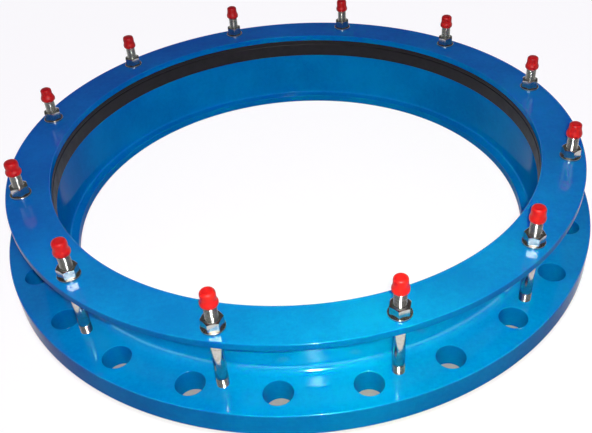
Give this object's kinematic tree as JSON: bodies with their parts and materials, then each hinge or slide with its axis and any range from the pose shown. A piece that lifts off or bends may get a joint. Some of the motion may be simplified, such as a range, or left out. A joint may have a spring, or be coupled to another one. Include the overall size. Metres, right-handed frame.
{
  "type": "flange adaptor of a dismantling joint",
  "caption": "Drilled ring flange with a flared pipe socket, wedge gasket and gland ring drawn down on tie studs; takes up pipe length where valves are removed.",
  "frame": {"origin": "centre of the flange's raised mating face, which the part stands on", "axes": "+Z along the pipe axis, from the flange to the socket that the pipe enters; +X lies midway between two flange bolt holes"},
  "size_m": [0.91, 0.91, 0.193],
  "materials": {
    "coated_iron": "glossy blue epoxy coating",
    "seal_rubber": "smooth moulded rubber",
    "zinc_steel": "bright zinc plate",
    "cap_plastic": "soft satin polyethylene"
  },
  "bodies": {
    "root": {"flange_body": "coated_iron", "gasket": "seal_rubber", "stud_01": "zinc_steel", "stud_02": "zinc_steel", "stud_03": "zinc_steel", "stud_04": "zinc_steel", "stud_05": "zinc_steel", "stud_06": "zinc_steel", "stud_07": "zinc_steel", "stud_08": "zinc_steel", "stud_09": "zinc_steel", "stud_10": "zinc_steel", "stud_11": "zinc_steel", "stud_12": "zinc_steel"},
    "gland": {"gland_ring": "coated_iron", "washer_01": "zinc_steel", "washer_02": "zinc_steel", "washer_03": "zinc_steel", "washer_04": "zinc_steel", "washer_05": "zinc_steel", "washer_06": "zinc_steel", "washer_07": "zinc_steel", "washer_08": "zinc_steel", "washer_09": "zinc_steel", "washer_10": "zinc_steel", "washer_11": "zinc_steel", "washer_12": "zinc_steel"},
    "nut_01": {"nut_01": "zinc_steel"},
    "cap_01": {"cap_01": "cap_plastic"},
    "nut_02": {"nut_02": "zinc_steel"},
    "cap_02": {"cap_02": "cap_plastic"},
    "nut_03": {"nut_03": "zinc_steel"},
    "cap_03": {"cap_03": "cap_plastic"},
    "nut_04": {"nut_04": "zinc_steel"},
    "cap_04": {"cap_04": "cap_plastic"},
    "nut_05": {"nut_05": "zinc_steel"},
    "cap_05": {"cap_05": "cap_plastic"},
    "nut_06": {"nut_06": "zinc_steel"},
    "cap_06": {"cap_06": "cap_plastic"},
    "nut_07": {"nut_07": "zinc_steel"},
    "cap_07": {"cap_07": "cap_plastic"},
    "nut_08": {"nut_08": "zinc_steel"},
    "cap_08": {"cap_08": "cap_plastic"},
    "nut_09": {"nut_09": "zinc_steel"},
    "cap_09": {"cap_09": "cap_plastic"},
    "nut_10": {"nut_10": "zinc_steel"},
    "cap_10": {"cap_10": "cap_plastic"},
    "nut_11": {"nut_11": "zinc_steel"},
    "cap_11": {"cap_11": "cap_plastic"},
    "nut_12": {"nut_12": "zinc_steel"},
    "cap_12": {"cap_12": "cap_plastic"}
  },
  "joints": [
    {"name": "gland_slide", "type": "slide", "parent": "root", "child": "gland", "axis": [0, 0, 1], "range_m": [-0.008, 0], "deforming": ["gasket"]},
    {"name": "nut_turn_01", "type": "hinge", "parent": "gland", "child": "nut_01", "pos_m": [0.40095, 0.09257, 0.146], "axis": [0, 0, 1], "range_deg": [-1441, 1]},
    {"name": "cap_pull_01", "type": "slide", "parent": "root", "child": "cap_01", "axis": [0, 0, 1], "range_m": [0, 0.03]},
    {"name": "nut_turn_02", "type": "hinge", "parent": "gland", "child": "nut_02", "pos_m": [0.30095, 0.28064, 0.146], "axis": [0, 0, 1], "range_deg": [-1441, 1]},
    {"name": "cap_pull_02", "type": "slide", "parent": "root", "child": "cap_02", "axis": [0, 0, 1], "range_m": [0, 0.03]},
    {"name": "nut_turn_03", "type": "hinge", "parent": "gland", "child": "nut_03", "pos_m": [0.12031, 0.39352, 0.146], "axis": [0, 0, 1], "range_deg": [-1441, 1]},
    {"name": "cap_pull_03", "type": "slide", "parent": "root", "child": "cap_03", "axis": [0, 0, 1], "range_m": [0, 0.03]},
    {"name": "nut_turn_04", "type": "hinge", "parent": "gland", "child": "nut_04", "pos_m": [-0.09257, 0.40095, 0.146], "axis": [0, 0, 1], "range_deg": [-1441, 1]},
    {"name": "cap_pull_04", "type": "slide", "parent": "root", "child": "cap_04", "axis": [0, 0, 1], "range_m": [0, 0.03]},
    {"name": "nut_turn_05", "type": "hinge", "parent": "gland", "child": "nut_05", "pos_m": [-0.28064, 0.30095, 0.146], "axis": [0, 0, 1], "range_deg": [-1441, 1]},
    {"name": "cap_pull_05", "type": "slide", "parent": "root", "child": "cap_05", "axis": [0, 0, 1], "range_m": [0, 0.03]},
    {"name": "nut_turn_06", "type": "hinge", "parent": "gland", "child": "nut_06", "pos_m": [-0.39352, 0.12031, 0.146], "axis": [0, 0, 1], "range_deg": [-1441, 1]},
    {"name": "cap_pull_06", "type": "slide", "parent": "root", "child": "cap_06", "axis": [0, 0, 1], "range_m": [0, 0.03]},
    {"name": "nut_turn_07", "type": "hinge", "parent": "gland", "child": "nut_07", "pos_m": [-0.40095, -0.09257, 0.146], "axis": [0, 0, 1], "range_deg": [-1441, 1]},
    {"name": "cap_pull_07", "type": "slide", "parent": "root", "child": "cap_07", "axis": [0, 0, 1], "range_m": [0, 0.03]},
    {"name": "nut_turn_08", "type": "hinge", "parent": "gland", "child": "nut_08", "pos_m": [-0.30095, -0.28064, 0.146], "axis": [0, 0, 1], "range_deg": [-1441, 1]},
    {"name": "cap_pull_08", "type": "slide", "parent": "root", "child": "cap_08", "axis": [0, 0, 1], "range_m": [0, 0.03]},
    {"name": "nut_turn_09", "type": "hinge", "parent": "gland", "child": "nut_09", "pos_m": [-0.12031, -0.39352, 0.146], "axis": [0, 0, 1], "range_deg": [-1441, 1]},
    {"name": "cap_pull_09", "type": "slide", "parent": "root", "child": "cap_09", "axis": [0, 0, 1], "range_m": [0, 0.03]},
    {"name": "nut_turn_10", "type": "hinge", "parent": "gland", "child": "nut_10", "pos_m": [0.09257, -0.40095, 0.146], "axis": [0, 0, 1], "range_deg": [-1441, 1]},
    {"name": "cap_pull_10", "type": "slide", "parent": "root", "child": "cap_10", "axis": [0, 0, 1], "range_m": [0, 0.03]},
    {"name": "nut_turn_11", "type": "hinge", "parent": "gland", "child": "nut_11", "pos_m": [0.28064, -0.30095, 0.146], "axis": [0, 0, 1], "range_deg": [-1441, 1]},
    {"name": "cap_pull_11", "type": "slide", "parent": "root", "child": "cap_11", "axis": [0, 0, 1], "range_m": [0, 0.03]},
    {"name": "nut_turn_12", "type": "hinge", "parent": "gland", "child": "nut_12", "pos_m": [0.39352, -0.12031, 0.146], "axis": [0, 0, 1], "range_deg": [-1441, 1]},
    {"name": "cap_pull_12", "type": "slide", "parent": "root", "child": "cap_12", "axis": [0, 0, 1], "range_m": [0, 0.03]}
  ],
  "couplings": [
    {"joint": "nut_turn_01", "follows": "gland_slide", "rad_per_m": 3141.6},
    {"joint": "nut_turn_02", "follows": "gland_slide", "rad_per_m": 3141.6},
    {"joint": "nut_turn_03", "follows": "gland_slide", "rad_per_m": 3141.6},
    {"joint": "nut_turn_04", "follows": "gland_slide", "rad_per_m": 3141.6},
    {"joint": "nut_turn_05", "follows": "gland_slide", "rad_per_m": 3141.6},
    {"joint": "nut_turn_06", "follows": "gland_slide", "rad_per_m": 3141.6},
    {"joint": "nut_turn_07", "follows": "gland_slide", "rad_per_m": 3141.6},
    {"joint": "nut_turn_08", "follows": "gland_slide", "rad_per_m": 3141.6},
    {"joint": "nut_turn_09", "follows": "gland_slide", "rad_per_m": 3141.6},
    {"joint": "nut_turn_10", "follows": "gland_slide", "rad_per_m": 3141.6},
    {"joint": "nut_turn_11", "follows": "gland_slide", "rad_per_m": 3141.6},
    {"joint": "nut_turn_12", "follows": "gland_slide", "rad_per_m": 3141.6}
  ]
}
